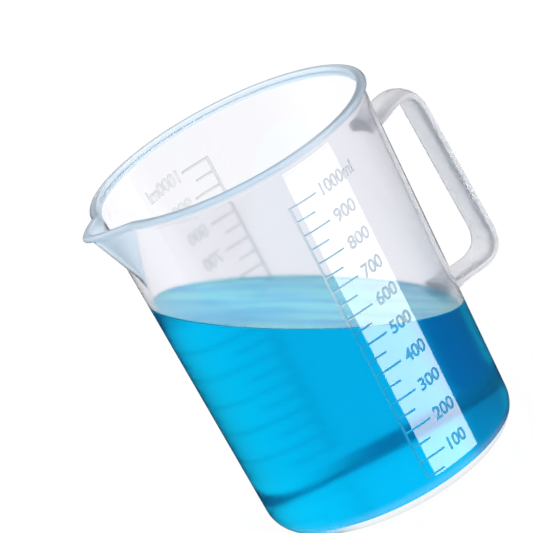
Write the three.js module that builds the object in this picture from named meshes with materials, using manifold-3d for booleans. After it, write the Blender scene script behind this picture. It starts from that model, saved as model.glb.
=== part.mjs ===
// A one-litre clear plastic beaker: a tapered cup with a beaded rim, a pouring spout,
// a strap handle and two raised volume scales.
// Millimetres, +Z up. The origin is the centre of the flat underside. The spout points along -X,
// the handle along +X, the front scale faces -Y and the back scale faces +Y.
import * as THREE from "three";
import { mergeVertices } from "three/addons/utils/BufferGeometryUtils.js";
import Module from "manifold-3d";

// Cup
const HEIGHT = 144.7; // underside to the top of the rim
const BASE_RADIUS = 50.8; // outside of the wall, carried down to the underside
const MOUTH_RADIUS = 54.6; // outside of the wall, carried up to the top of the rim
const WALL = 1.7;
const FLOOR = 4.0;
const OUTER_CORNER = 10.0; // radius where the wall turns into the underside
const INNER_CORNER = 7.0; // radius where the wall turns into the floor

// Rim bead
const BEAD_RADIUS = 1.2;
const BEAD_OFFSET = 0.85; // middle of the bead, out from the wall's outside
const LIP_ROUND = 0.7; // radius on the rim's inner edge

// Spout
const SPOUT_REACH = 9.7; // how far the wall is drawn out at the rim
const SPOUT_DEPTH = 25.0; // how far down the wall it starts
const SPOUT_HALF_ANGLE = THREE.MathUtils.degToRad(14);
const SPOUT_RIDGE = THREE.MathUtils.degToRad(1.6); // rounding of the beak's ridge
const SPOUT_BLEND = 0.1; // share of the reach over which it fades into the wall
const SPOUT_ROWS = 7;

// Strap handle
const HANDLE_TOP = 119.5; // height of the strap's upper root
const HANDLE_BOTTOM = 49.6; // height of the strap's lower root
const HANDLE_REACH_TOP = 20.0; // wall to the middle of the upright strap, at its upper corner
const HANDLE_REACH_BOTTOM = 25.0; // the same at its lower corner
const HANDLE_RISE = 6.0; // climb of the upper strap towards its corner
const HANDLE_BEND = 11.0; // length of strap that each corner takes up on either side
const HANDLE_WIDTH = 18.0;
const HANDLE_EDGE = 1.9; // thickness at the strap's edges
const HANDLE_CROWN = 1.5; // extra thickness along the middle of its outer face
const HANDLE_EDGE_ROUND = 0.5;
const HANDLE_STEPS = 36;
const ROOT_OVERLAP = 4.0; // length of strap cut away inside the wall
const ROOT_GAP = 0.3; // gap between the strap's root and the wall

// Volume scale
const CAPACITY = 1000; // ml at the top mark
const TOP_MARK_DROP = 17.1; // top of the rim to the top mark
const MINOR_STEP = 50; // ml between ticks
const MAJOR_STEP = 100; // ml between long, numbered ticks
const LINE_OFFSET = -10.95; // the upright line, along the wall from the middle of the scale
const LINE_WIDTH = 0.7;
const TICK_WIDTH = 0.8;
const LONG_TICK = 11.4;
const SHORT_TICK = 7.9;
const MARK_RELIEF = 0.45; // how far the marks stand out
const MARK_GAP = 0.2; // gap between the marks and the wall
const MARK_SEGMENT = 4.0; // longest straight piece of a mark that follows the wall's curve

// Numerals
const DIGIT_HEIGHT = 5.0;
const DIGIT_WIDTH = 3.3;
const DIGIT_STROKE = 0.75;
const NUMERAL_GAP = 2.3; // long tick's end to the first digit
const DIGIT_LAP = 0.25; // neighbouring digits run together by this much
const SEVEN_LAP = 0.6; // further lap of a digit under a seven's bar

// Fineness
const CUP_SEGMENTS = 72;
const SPOUT_BUNCHING = 0.5; // draws the cup's segments closer together at the spout
const CORNER_STEPS = 5;
const BEAD_STEPS = 7;
const LIP_STEPS = 2;
const STRAP_FACE_STEPS = 3;
const RING_STEPS = 10;
const LEVEL_PASSES = 6; // rounds in which a liquid's level is worked out
const WELD = 1e-4; // points closer than this are one point

// Looks
const PLASTIC_COLOUR = 0xe9e8f3;
const PLASTIC_ROUGHNESS = 0.18;
const CUP_OPACITY = 0.35;
const HANDLE_OPACITY = 0.5;
const MARK_OPACITY = 0.8;

const wasm = await Module();
wasm.setup();

const TAPER = (MOUTH_RADIUS - BASE_RADIUS) / HEIGHT;
const SLANT = Math.hypot(1, TAPER);
const SPOUT_ANGLE = -Math.PI / 2;

// Outside radius of the wall at a height above the underside.
function wallRadius(z) {
  return BASE_RADIUS + TAPER * z;
}

// Inside radius of the wall, which has the same thickness all the way up.
function insideRadius(z) {
  return wallRadius(z) - WALL * SLANT;
}

// Points along part of a circle or an ellipse, with angles in degrees.
function arc(cx, cy, rx, ry, from, to, steps) {
  return Array.from({ length: steps + 1 }, (_, i) => {
    const a = THREE.MathUtils.degToRad(from + ((to - from) * i) / steps);
    return new THREE.Vector2(cx + rx * Math.cos(a), cy + ry * Math.sin(a));
  });
}

// The round corner between a level face at height z and the slanted wall outside it, from the face up.
function corner(radiusAtHeight, z, radius) {
  const middle = radiusAtHeight(z + radius) - radius * SLANT;
  const end = -THREE.MathUtils.radToDeg(Math.atan(TAPER));
  return arc(middle, z + radius, radius, radius, -90, end, CORNER_STEPS);
}

// A closed geometry as a solid that can be joined and cut.
function toSolid(geometry) {
  const bare = geometry.clone();
  bare.deleteAttribute("normal");
  bare.deleteAttribute("uv");
  const merged = mergeVertices(bare, WELD);
  const vertProperties = merged.getAttribute("position").array;
  const triVerts = new Uint32Array(merged.index.array);
  return new wasm.Manifold(new wasm.Mesh({ numProp: 3, vertProperties, triVerts }));
}

// A solid as a geometry with flat faces.
function toGeometry(solid) {
  const { vertProperties, triVerts } = solid.getMesh();
  const geometry = new THREE.BufferGeometry();
  geometry.setAttribute("position", new THREE.BufferAttribute(vertProperties, 3));
  geometry.setIndex(new THREE.BufferAttribute(triVerts, 1));
  const flat = geometry.toNonIndexed();
  flat.computeVertexNormals();
  return flat;
}

// Moves every point of a geometry.
function shape(geometry, move) {
  const position = geometry.getAttribute("position");
  const point = new THREE.Vector3();
  for (let i = 0; i < position.count; i++) {
    point.fromBufferAttribute(position, i);
    move(point);
    position.setXYZ(i, point.x, point.y, point.z);
  }
  geometry.computeVertexNormals();
  return geometry;
}

// A profile of radius and height turned about the Z axis.
function turned(profile, segments) {
  return new THREE.LatheGeometry(profile, segments).rotateX(Math.PI / 2);
}

// Angle about Z of a point, where 0 faces -Y and +X lies at a quarter turn.
function bearing(point) {
  return Math.atan2(point.x, -point.y);
}

// How far the spout draws the wall out, at an angle from its ridge and a height.
function spoutPush(angle, z) {
  const aside = Math.hypot(angle, SPOUT_RIDGE) - SPOUT_RIDGE;
  const share = 1 - aside / SPOUT_HALF_ANGLE - (HEIGHT - BEAD_RADIUS - z) / SPOUT_DEPTH;
  if (share <= -SPOUT_BLEND) return 0;
  if (share >= SPOUT_BLEND) return SPOUT_REACH * share;
  return (SPOUT_REACH * (share + SPOUT_BLEND) ** 2) / (4 * SPOUT_BLEND);
}

// The cup's section from the middle of the underside, up the outside, over the rim and down to the floor.
function cupProfile() {
  const beadHeight = HEIGHT - BEAD_RADIUS;
  const beadMiddle = wallRadius(beadHeight) + BEAD_OFFSET;
  const lipMiddle = insideRadius(HEIGHT - LIP_ROUND) + LIP_ROUND;
  const wallTop = HEIGHT - 2 * BEAD_RADIUS - BEAD_OFFSET;
  const spoutFoot = beadHeight - SPOUT_DEPTH * (1 + SPOUT_BLEND);
  const rows = Array.from({ length: SPOUT_ROWS }, (_, i) =>
    THREE.MathUtils.lerp(spoutFoot, wallTop, i / (SPOUT_ROWS - 1)),
  );
  const outside = rows.map((z) => new THREE.Vector2(wallRadius(z), z));
  const inside = rows.map((z) => new THREE.Vector2(insideRadius(z), z)).reverse();
  return [
    new THREE.Vector2(0, 0),
    ...corner(wallRadius, 0, OUTER_CORNER),
    ...outside,
    ...arc(beadMiddle, beadHeight, BEAD_RADIUS, BEAD_RADIUS, -90, 90, BEAD_STEPS),
    ...arc(lipMiddle, HEIGHT - LIP_ROUND, LIP_ROUND, LIP_ROUND, 90, 180, LIP_STEPS),
    ...inside,
    ...corner(insideRadius, FLOOR, INNER_CORNER).reverse(),
    new THREE.Vector2(0, FLOOR),
  ];
}

// The watertight cup, with its segments closer together at the spout and the wall drawn out there.
function vesselGeometry() {
  return shape(turned(cupProfile(), CUP_SEGMENTS), (point) => {
    const radius = Math.hypot(point.x, point.y);
    const turn = bearing(point) - SPOUT_ANGLE;
    const aside = Math.atan2(Math.sin(turn), Math.cos(turn));
    const bunched = aside - SPOUT_BUNCHING * Math.sin(aside);
    const pushed = radius + spoutPush(bunched, point.z);
    point.x = pushed * Math.sin(SPOUT_ANGLE + bunched);
    point.y = -pushed * Math.cos(SPOUT_ANGLE + bunched);
  });
}

// A line through corner points whose corners are rounded off.
function roundedPath(points, bend) {
  const path = new THREE.CurvePath();
  let start = points[0];
  for (let i = 1; i < points.length - 1; i++) {
    const before = points[i].clone().lerp(points[i - 1], bend / points[i].distanceTo(points[i - 1]));
    const after = points[i].clone().lerp(points[i + 1], bend / points[i].distanceTo(points[i + 1]));
    path.add(new THREE.LineCurve3(start, before));
    path.add(new THREE.QuadraticBezierCurve3(before, points[i], after));
    start = after;
  }
  path.add(new THREE.LineCurve3(start, points[points.length - 1]));
  return path;
}

// The strap's section: X runs across the strap and +Y faces the fingers.
function strapSection() {
  const half = HANDLE_WIDTH / 2;
  const face = HANDLE_EDGE / 2;
  const round = HANDLE_EDGE_ROUND;
  const section = new THREE.Shape();
  section.moveTo(half - round, face);
  section.lineTo(-half + round, face);
  section.lineTo(-half, face - round);
  section.lineTo(-half, -face + round);
  section.quadraticCurveTo(-half / 2, -face - HANDLE_CROWN, 0, -face - HANDLE_CROWN);
  section.quadraticCurveTo(half / 2, -face - HANDLE_CROWN, half, -face + round);
  section.lineTo(half, face - round);
  return section;
}

// The space inside the handle's roots: the wall and everything within it.
function wallPlug() {
  const low = -HANDLE_WIDTH;
  const high = HEIGHT + HANDLE_WIDTH;
  const profile = [
    new THREE.Vector2(0, low),
    new THREE.Vector2(wallRadius(low) + ROOT_GAP, low),
    new THREE.Vector2(wallRadius(high) + ROOT_GAP, high),
    new THREE.Vector2(0, high),
  ];
  return toSolid(turned(profile, 2 * CUP_SEGMENTS));
}

function handleGeometry() {
  const top = wallRadius(HANDLE_TOP);
  const bottom = wallRadius(HANDLE_BOTTOM);
  const climb = HANDLE_RISE / HANDLE_REACH_TOP;
  const path = roundedPath(
    [
      new THREE.Vector3(top - ROOT_OVERLAP, 0, HANDLE_TOP - ROOT_OVERLAP * climb),
      new THREE.Vector3(top + HANDLE_REACH_TOP, 0, HANDLE_TOP + HANDLE_RISE),
      new THREE.Vector3(bottom + HANDLE_REACH_BOTTOM, 0, HANDLE_BOTTOM),
      new THREE.Vector3(bottom - ROOT_OVERLAP, 0, HANDLE_BOTTOM),
    ],
    HANDLE_BEND,
  );
  const options = { steps: HANDLE_STEPS, extrudePath: path, curveSegments: STRAP_FACE_STEPS };
  const strap = new THREE.ExtrudeGeometry(strapSection(), options);
  return toGeometry(toSolid(strap).subtract(wallPlug()));
}

// Room inside the cup up to a height above the underside.
function roomBelow(z) {
  const low = insideRadius(FLOOR);
  const high = insideRadius(z);
  const cone = (Math.PI * (z - FLOOR) * (low ** 2 + low * high + high ** 2)) / 3;
  const cornerLoss = (1 - Math.PI / 4) * INNER_CORNER ** 2 * 2 * Math.PI * low;
  return cone - cornerLoss;
}

// Height of a marked volume. The cup holds its capacity up to the top mark, and any other mark's share
// of the capacity up to that mark.
function levelOf(millilitres) {
  const wanted = (millilitres / CAPACITY) * roomBelow(HEIGHT - TOP_MARK_DROP);
  let z = FLOOR;
  for (let i = 0; i < LEVEL_PASSES; i++) {
    z += (wanted - roomBelow(z)) / (Math.PI * insideRadius(z) ** 2);
  }
  return z;
}

// Every marked volume whose mark lies on the plain wall above the corner.
function markedVolumes() {
  const count = Math.floor(CAPACITY / MINOR_STEP);
  const volumes = Array.from({ length: count }, (_, i) => (i + 1) * MINOR_STEP);
  return volumes.filter((volume) => levelOf(volume) > OUTER_CORNER + TICK_WIDTH / 2);
}

// Radius at which lengths along the wall are measured out.
const SCALE_RADIUS = wallRadius(HEIGHT / 2);

// Lays a flat geometry, with X along the wall, Y up and Z outwards, round the front of the wall.
function bentOntoWall(geometry) {
  return shape(geometry, (point) => {
    const radius = wallRadius(point.y) + MARK_GAP + point.z;
    const angle = point.x / SCALE_RADIUS;
    point.set(radius * Math.sin(angle), -radius * Math.cos(angle), point.y);
  });
}

// A raised bar between two places along the wall, at a height.
function bar(from, to, z, height) {
  const segments = Math.max(1, Math.ceil((to - from) / MARK_SEGMENT));
  const box = new THREE.BoxGeometry(to - from, height, MARK_RELIEF, segments, 1, 1);
  box.translate((from + to) / 2, z, MARK_RELIEF / 2);
  return toSolid(bentOntoWall(box));
}

// The upright line with its ticks.
function scaleGeometry(volumes) {
  const levels = volumes.map(levelOf);
  const low = levels[0] - TICK_WIDTH / 2;
  const high = levels[levels.length - 1] + TICK_WIDTH / 2;
  const line = bar(LINE_OFFSET - LINE_WIDTH / 2, LINE_OFFSET + LINE_WIDTH / 2, (low + high) / 2, high - low);
  const ticks = volumes.map((volume, i) => {
    const length = volume % MAJOR_STEP === 0 ? LONG_TICK : SHORT_TICK;
    return bar(LINE_OFFSET, LINE_OFFSET + length, levels[i], TICK_WIDTH);
  });
  return toGeometry(ticks.reduce((comb, tick) => comb.add(tick), line));
}

const v = (x, y) => new THREE.Vector2(x, y);

// Pen strokes of each character, in a box one wide and one high. A stroke bends smoothly, so a sharp corner
// is where two strokes meet, and one that ends where it starts is a ring.
const STROKES = {
  0: [arc(0.5, 0.5, 0.5, 0.5, 0, 360, RING_STEPS)],
  1: [
    [v(0, 0.75), v(0.45, 0.97)],
    [v(0.45, 1), v(0.45, 0)],
  ],
  2: [
    [...arc(0.5, 0.7, 0.5, 0.3, 160, -30, 6), v(0.08, 0.02)],
    [v(0, 0), v(1, 0)],
  ],
  3: [arc(0.46, 0.76, 0.5, 0.24, 150, -90, 6), arc(0.46, 0.26, 0.54, 0.26, 90, -150, 6)],
  4: [
    [v(0.7, 0.97), v(0.05, 0.3)],
    [v(0, 0.3), v(1, 0.3)],
    [v(0.7, 1), v(0.7, 0)],
  ],
  5: [
    [v(0.05, 1), v(0.9, 1)],
    [v(0.12, 1), v(0.08, 0.45)],
    arc(0.46, 0.32, 0.54, 0.32, 140, -150, 7),
  ],
  6: [
    arc(0.5, 0.31, 0.5, 0.31, 0, 360, RING_STEPS),
    new THREE.QuadraticBezierCurve(v(0, 0.31), v(0.05, 0.9), v(0.85, 1)).getPoints(4),
  ],
  7: [
    [v(0, 1), v(1, 1)],
    [v(0.95, 0.97), v(0.3, 0)],
  ],
  8: [arc(0.5, 0.76, 0.44, 0.24, 0, 360, RING_STEPS), arc(0.5, 0.27, 0.5, 0.27, 0, 360, RING_STEPS)],
  9: [
    arc(0.5, 0.69, 0.5, 0.31, 0, 360, RING_STEPS),
    new THREE.QuadraticBezierCurve(v(1, 0.69), v(0.95, 0.1), v(0.15, 0)).getPoints(4),
  ],
  m: [
    [v(0, 0), v(0, 0.65)],
    [...arc(0.3, 0.4, 0.3, 0.22, 180, 0, 4), v(0.6, 0)],
    [...arc(0.9, 0.4, 0.3, 0.22, 180, 0, 4), v(1.2, 0)],
    [v(1.2, 0), v(1.55, 0)],
  ],
  l: [[v(0, 0), v(0, 1)]],
};

// How far each character runs, where that isn't its whole box.
const ADVANCE = { 1: 0.45, m: 1.45, l: 0 };

// A copy of a line of points whose last point lies further on.
function lengthened(points, extra) {
  const last = points[points.length - 1];
  const step = last.clone().sub(points[points.length - 2]).setLength(extra);
  return [...points.slice(0, -1), last.clone().add(step)];
}

// A pen stroke as a flat outline of even width, with square ends half a width past its end points.
function strokeOutline(points, width) {
  const ring = points[0].distanceTo(points[points.length - 1]) < WELD;
  const oneEnd = ring ? points : lengthened(points, width / 2).reverse();
  const line = ring ? points.slice(0, -1) : lengthened(oneEnd, width / 2);
  const count = line.length;
  const across = line.map((point, i) => {
    const before = ring ? line[(i + count - 1) % count] : line[Math.max(i - 1, 0)];
    const after = ring ? line[(i + 1) % count] : line[Math.min(i + 1, count - 1)];
    const into = point.clone().sub(before).normalize();
    const out = after.clone().sub(point).normalize();
    const along = into.add(out).normalize();
    return v(-along.y, along.x).multiplyScalar(width / 2);
  });
  const left = line.map((point, i) => point.clone().add(across[i]));
  const right = line.map((point, i) => point.clone().sub(across[i]));
  if (!ring) return new THREE.Shape([...right, ...left.reverse()]);
  const outline = new THREE.Shape(right);
  outline.holes.push(new THREE.Path(left));
  return outline;
}

// A raised number, whose characters run into each other so that it is one body.
function numeralGeometry(text, z) {
  const penWidth = DIGIT_WIDTH - DIGIT_STROKE;
  const penHeight = DIGIT_HEIGHT - DIGIT_STROKE;
  const bottom = z - penHeight / 2;
  let pen = LINE_OFFSET + LONG_TICK + NUMERAL_GAP + DIGIT_STROKE / 2;
  const strokes = [];
  for (const character of text) {
    for (const stroke of STROKES[character]) {
      const placed = stroke.map((p) => v(pen + p.x * penWidth, bottom + p.y * penHeight));
      const outline = strokeOutline(placed, DIGIT_STROKE);
      const raised = new THREE.ExtrudeGeometry(outline, { depth: MARK_RELIEF, bevelEnabled: false });
      strokes.push(toSolid(raised));
    }
    pen += (ADVANCE[character] ?? 1) * penWidth + DIGIT_STROKE - DIGIT_LAP;
    if (character === "7") pen -= SEVEN_LAP;
  }
  return bentOntoWall(toGeometry(strokes.reduce((number, stroke) => number.add(stroke))));
}

function clearPlastic(opacity) {
  return new THREE.MeshStandardMaterial({
    color: PLASTIC_COLOUR,
    roughness: PLASTIC_ROUGHNESS,
    metalness: 0,
    transparent: true,
    opacity,
  });
}

function mesh(name, geometry, opacity) {
  const made = new THREE.Mesh(geometry, clearPlastic(opacity));
  made.name = name;
  return made;
}

// One scale with its numerals, as it sits on the front of the wall.
function scaleGroup(side) {
  const group = new THREE.Group();
  const volumes = markedVolumes();
  group.add(mesh(`${side}_scale`, scaleGeometry(volumes), MARK_OPACITY));
  for (const volume of volumes.filter((each) => each % MAJOR_STEP === 0)) {
    const text = volume === CAPACITY ? `${volume}ml` : `${volume}`;
    const numeral = numeralGeometry(text, levelOf(volume));
    group.add(mesh(`${side}_numeral_${volume}`, numeral, MARK_OPACITY));
  }
  return group;
}

const beaker = new THREE.Group();
beaker.name = "beaker";
beaker.add(mesh("vessel", vesselGeometry(), CUP_OPACITY));
beaker.add(mesh("handle", handleGeometry(), HANDLE_OPACITY));
beaker.add(scaleGroup("front"));
const back = scaleGroup("back");
back.rotation.z = Math.PI;
beaker.add(back);

export default beaker;
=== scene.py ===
"""The looks of a clear one-litre plastic beaker with a strap handle, part full of blue liquid.

Everything is in metres, +Z up, with the origin at the centre of the underside. The spout points
along -X, the handle along +X, the front scale faces -Y and the back scale faces +Y.
"""
import math
from functools import partial

import bpy
from mathutils import Matrix, Vector


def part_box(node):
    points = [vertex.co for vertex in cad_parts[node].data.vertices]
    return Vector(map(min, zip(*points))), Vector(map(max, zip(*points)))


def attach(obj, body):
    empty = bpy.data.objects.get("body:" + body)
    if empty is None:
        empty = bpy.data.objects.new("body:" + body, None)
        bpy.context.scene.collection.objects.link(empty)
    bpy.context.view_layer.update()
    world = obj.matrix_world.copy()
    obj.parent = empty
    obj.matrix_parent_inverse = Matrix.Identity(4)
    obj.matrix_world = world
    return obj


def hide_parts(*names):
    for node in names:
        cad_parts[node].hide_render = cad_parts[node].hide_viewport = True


bl_info = {
    "name": "Plastic beaker",
    "version": (1, 0, 0),
    "blender": (4, 5, 0),
    "location": "View3D > Sidebar > Beaker",
    "description": "Models and finishes a clear measuring beaker around its packed solids",
    "category": "Add Mesh",
}

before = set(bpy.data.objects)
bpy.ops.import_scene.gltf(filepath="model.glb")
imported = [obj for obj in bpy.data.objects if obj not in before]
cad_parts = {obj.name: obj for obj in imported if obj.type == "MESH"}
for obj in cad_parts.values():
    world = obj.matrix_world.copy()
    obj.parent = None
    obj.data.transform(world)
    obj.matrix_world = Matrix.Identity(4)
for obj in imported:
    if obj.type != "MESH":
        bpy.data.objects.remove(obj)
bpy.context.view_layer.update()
MM = 0.001
SIDES = {"front": 0.0, "back": math.pi}
SPOUT_LAYER = "spout_share"

# How strongly each finish bends light; the wet wall already bends it for the liquid's skin
PLASTIC_IOR = 1.49
WATER_IOR = 1.33
POLISH_IOR = 1.8
SURFACE_IOR = 1.22
SKIN_IOR = 1.0

# Patterns in the plastic, with their scales per metre
FLOW_SCALE = 28
FLOW_STRETCH = (1.0, 1.0, 0.35)
WAVE_SCALE = 55
GRAIN_SCALE = 400

# Fineness of the rounded edges
CORNER_STEPS = 24
BEAD_STEPS = 14
LIP_STEPS = 6
SPOUT_ROWS = 16
FLAT_MARGIN = 0.4 * MM

# How close counts as the same place, and as one point
SAME_PLACE = 0.01 * MM
ONE_POINT = 0.001 * MM

# Slots of the cup's and the liquid's finishes
CLEAR, RIM, FOOT = range(3)
SKIN, SURFACE = range(2)

# Least upright part of a level face's normal, and of that of the liquid's surface along its own upright
LEVEL = 0.99
SURFACE_FACING = 0.5

# Rings of the liquid's surface, from the wall in: the width, and the share of the creep that it drops
CREEP_RINGS = ((0.35 * MM, 0.42), (0.5 * MM, 0.15), (0.8 * MM, 0.0))

# A ray that has crossed more surfaces than this has passed through the liquid
LIQUID_CROSSINGS = 4.5

# Colour sockets of a Mix node
MIX_FIRST, MIX_SECOND, MIX_RESULT = 6, 7, 2


def setting(kind, **traits):
    """A maker of one sort of property, from its name, its description and its default."""

    def make(name, description, default):
        return kind(name=name, description=description, default=default, **traits)

    return make


# Sizes and places are in metres, colours are linear, clearness holds roughness and the share let through
length = setting(bpy.props.FloatProperty, unit="LENGTH", precision=5)
spot = setting(bpy.props.FloatVectorProperty, size=3, subtype="TRANSLATION", unit="LENGTH")
radians = setting(bpy.props.FloatProperty, subtype="ANGLE")
number = setting(bpy.props.FloatProperty, precision=4)
count = setting(bpy.props.IntProperty)
colour = setting(bpy.props.FloatVectorProperty, size=3, min=0, max=1, subtype="COLOR")
clearness = setting(bpy.props.FloatVectorProperty, size=2, min=0, max=1)


def angle(name, description, degrees):
    """An angle, given in degrees."""
    return radians(name, description, math.radians(degrees))


def groups_of(context, *names):
    """Some of the scene's groups of sizes and looks."""
    return [getattr(context.scene, f"beaker_{name}") for name in names]


class BeakerCup(bpy.types.PropertyGroup):
    """Sizes of the cup, its rim and its spout."""

    height: length("Height", "Underside to the top of the rim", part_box("vessel")[1].z)
    base_radius: length("Base radius", "Outside of the wall, carried down to the underside", 50.8 * MM)
    mouth_radius: length("Mouth radius", "Outside of the wall, carried up to the rim", 54.6 * MM)
    wall: length("Wall", "Thickness of the wall", 1.7 * MM)
    floor: length("Floor", "Thickness of the floor", 4 * MM)
    outer_corner: length("Outer corner", "Radius where the wall turns into the underside", 10 * MM)
    inner_corner: length("Inner corner", "Radius where the wall turns into the floor", 7 * MM)
    bead_radius: length("Bead radius", "Radius of the bead round the rim", 1.2 * MM)
    bead_offset: length("Bead offset", "Middle of the bead, out from the wall", 0.85 * MM)
    lip_round: length("Lip round", "Radius on the rim's inner edge", 0.7 * MM)
    foot_height: length("Foot height", "Top of the foot's rounded edge", 5.4 * MM)
    spout_reach: length("Spout reach", "How far the wall is drawn out at the rim", 9.7 * MM)
    spout_depth: length("Spout depth", "How far down the wall the spout starts", 25 * MM)
    spout_half_angle: angle("Spout half angle", "Half of the angle that the spout takes up", 14)
    spout_ridge: angle("Spout ridge", "Rounding of the beak's ridge", 1.6)
    spout_blend: number("Spout blend", "Share of the reach over which it fades into the wall", 0.1)
    segments: count("Segments", "Flat pieces round the cup", 360)


class BeakerHandle(bpy.types.PropertyGroup):
    """Sizes of the strap handle."""

    top: length("Top", "Height of the upper root", 119.5 * MM)
    bottom: length("Bottom", "Height of the lower root", 49.6 * MM)
    reach_top: length("Reach at the top", "Wall to the upright strap at its upper corner", 20 * MM)
    reach_bottom: length("Reach at the bottom", "Wall to the upright strap at its lower corner", 25 * MM)
    rise: length("Rise", "Climb of the upper strap towards its corner", 6 * MM)
    bend: length("Bend", "Length of strap that a corner takes up on either side", 11 * MM)
    width: length("Width", "Width of the strap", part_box("handle")[1].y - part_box("handle")[0].y)
    edge: length("Edge", "Thickness at the strap's edges", 1.9 * MM)
    crown: length("Crown", "Extra thickness along the middle of the outer face", 1.5 * MM)
    edge_round: length("Edge round", "Radius on the strap's edges", 0.5 * MM)
    flare: length("Flare", "Length over which a root swells into the wall", 5 * MM)
    swell: number("Swell", "How much thicker a root is where it meets the wall", 1.7)
    root_sink: length("Root sink", "How far the roots run into the wall", 0.5 * MM)
    root_run: length("Root run", "Length of strap that is cut off inside the wall", 4 * MM)


class BeakerScale(bpy.types.PropertyGroup):
    """Sizes of the raised volume scales."""

    capacity: count("Capacity", "Millilitres at the top mark", 1000)
    minor_step: count("Minor step", "Millilitres between ticks", 50)
    major_step: count("Major step", "Millilitres between long, numbered ticks", 100)
    top_mark_drop: length("Top mark drop", "Top of the rim to the top mark", 17.1 * MM)
    line_offset: length("Line offset", "The upright line, along the wall from the middle", -10.95 * MM)
    line_width: length("Line width", "Width of the upright line", 1.0 * MM)
    tick_width: length("Tick width", "Width of a tick", 0.9 * MM)
    long_tick: length("Long tick", "Length of a numbered tick", 11.4 * MM)
    short_tick: length("Short tick", "Length of a tick between the numbers", 7.9 * MM)
    relief: length("Relief", "Thickness of a mark, with what runs into the wall", 0.33 * MM)
    sink: length("Sink", "How far the marks run into the wall", 0.06 * MM)
    slope: length("Slope", "Width of the slope along a mark's edges", 0.34 * MM)
    numeral_stroke: length("Numeral stroke", "What is added to the strokes of the font", 0.65 * MM)
    bend_step: length("Bend step", "Longest straight piece of a bent tick", 1.6 * MM)


class BeakerLiquid(bpy.types.PropertyGroup):
    """Place and shape of the liquid."""

    level: length("Level", "Height of the surface on the cup's axis", 75.7 * MM)
    tilt: angle("Tilt", "Slope of the surface, which climbs towards the spout", 28.63)
    turn: angle("Turn", "Which way it climbs, from the spout towards the back", 9.1)
    lap: length("Lap", "How far the liquid's skin runs into the wall and floor", 0.3 * MM)
    meniscus: length("Meniscus", "How far the liquid creeps up the wall", 0.9 * MM)
    headroom: length("Headroom", "Spout to the top of the space that the liquid is cut from", 4 * MM)


class BeakerLooks(bpy.types.PropertyGroup):
    """Colours and finishes."""

    plastic: colour("Plastic", "Tint of one wall", (0.91, 0.91, 0.95))
    plastic_thin: colour("Thin plastic", "Tint where the wall is clearest", (0.945, 0.943, 0.97))
    marks: colour("Marks", "Tint of the raised marks", (0.93, 0.96, 0.97))
    marks_thin: colour("Thin marks", "Tint where the marks are clearest", (0.97, 0.98, 0.99))
    liquid: colour("Liquid", "What a clear pigment lets through", (0.0, 0.938, 0.992))
    liquid_strength: number("Liquid strength", "How fast the liquid takes light away, per metre", 100)
    surface: colour("Surface", "What the liquid's surface scatters", (0.0, 0.6, 0.95))
    surface_pale: colour("Pale surface", "What its palest streaks scatter", (0.16, 0.92, 1.0))
    spout: colour("Spout", "Tint of the drawn-out spout", (0.78, 0.9, 0.99))
    rim: colour("Rim", "Tint of the thick rim", (0.62, 0.81, 0.98))
    rim_pale: colour("Pale rim", "Tint where the rim is palest", (0.85, 0.93, 1.0))
    foot: colour("Foot", "Tint of the thick foot under the liquid", (0.94, 0.96, 0.97))
    foot_pale: colour("Pale foot", "Tint where the foot is palest", (0.98, 0.985, 0.99))
    foot_heading: angle("Foot heading", "Where the foot is cloudiest, from +X towards +Y", -34)
    foot_edge: length("Foot edge", "Where along that heading the foot turns cloudy", -19.5 * MM)
    foot_fade: length("Foot fade", "Half of the length over which it turns cloudy", 10 * MM)
    skin: colour("Skin", "Tint of the liquid against the wall", (0.95, 0.99, 1.0))
    skin_pale: colour("Pale skin", "Tint where it is palest", (1.0, 1.0, 1.0))
    surface_clear: number("Clear surface", "Share of light that passes through the surface", 0.2)
    streak_heading: angle("Streak heading", "Where the surface's streaks run, from +X towards +Y", -31)
    streak_length: length("Streak length", "Length of a streak on the surface", 45 * MM)
    streak_width: length("Streak width", "Width of a streak on the surface", 14 * MM)
    wall_finish: clearness("Wall finish", "Roughness and clearness of the wall", (0.08, 1.0))
    wet_finish: clearness("Wet finish", "The same for the inside under the liquid", (0.03, 1.0))
    rim_finish: clearness("Rim finish", "The same for the rim", (0.35, 0.6))
    foot_finish: clearness("Foot finish", "The same for the cloudy part of the foot", (0.35, 0.15))
    handle_finish: clearness("Handle finish", "The same for the handle", (0.25, 0.7))
    marks_finish: clearness("Marks finish", "The same for the raised marks", (0.36, 1.0))
    spout_haze: number("Spout haze", "Roughness that the drawn-out spout adds", 0.3)
    wet_haze: number("Wet haze", "Roughness that the wall adds under the liquid", 0.26)
    polish_edge: number("Polish edge", "Where the wall's polish ends: 0 by the handle, 1 by a scale", 0.42)
    polish_fade: number("Polish fade", "Half of the stretch over which it ends", 0.3)
    scale_shine: number("Scale shine", "Strength of the polish on the scales", 0.1)
    numeral_shine: number("Numeral shine", "Strength of the polish on the numerals", 0.12)
    floor: colour("Floor", "Pale floor", (0.96, 0.96, 0.965))
    floor_glow: number("Floor glow", "Share of the floor's look that is its own light", 0.93)


def arithmetic(operation, swapped=False):
    """A method of Value that adds a Math node."""

    def method(self, other):
        sides = (other, self) if swapped else (self, other)
        return self.nodes.math(operation, *sides)

    return method


class Value:
    """A socket of a node tree, on which plain arithmetic adds Math nodes."""

    def __init__(self, nodes, socket):
        self.nodes = nodes
        self.socket = socket

    __add__ = arithmetic("ADD")
    __radd__ = arithmetic("ADD", swapped=True)
    __sub__ = arithmetic("SUBTRACT")
    __rsub__ = arithmetic("SUBTRACT", swapped=True)
    __mul__ = arithmetic("MULTIPLY")
    __rmul__ = arithmetic("MULTIPLY", swapped=True)
    __truediv__ = arithmetic("DIVIDE")


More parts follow.
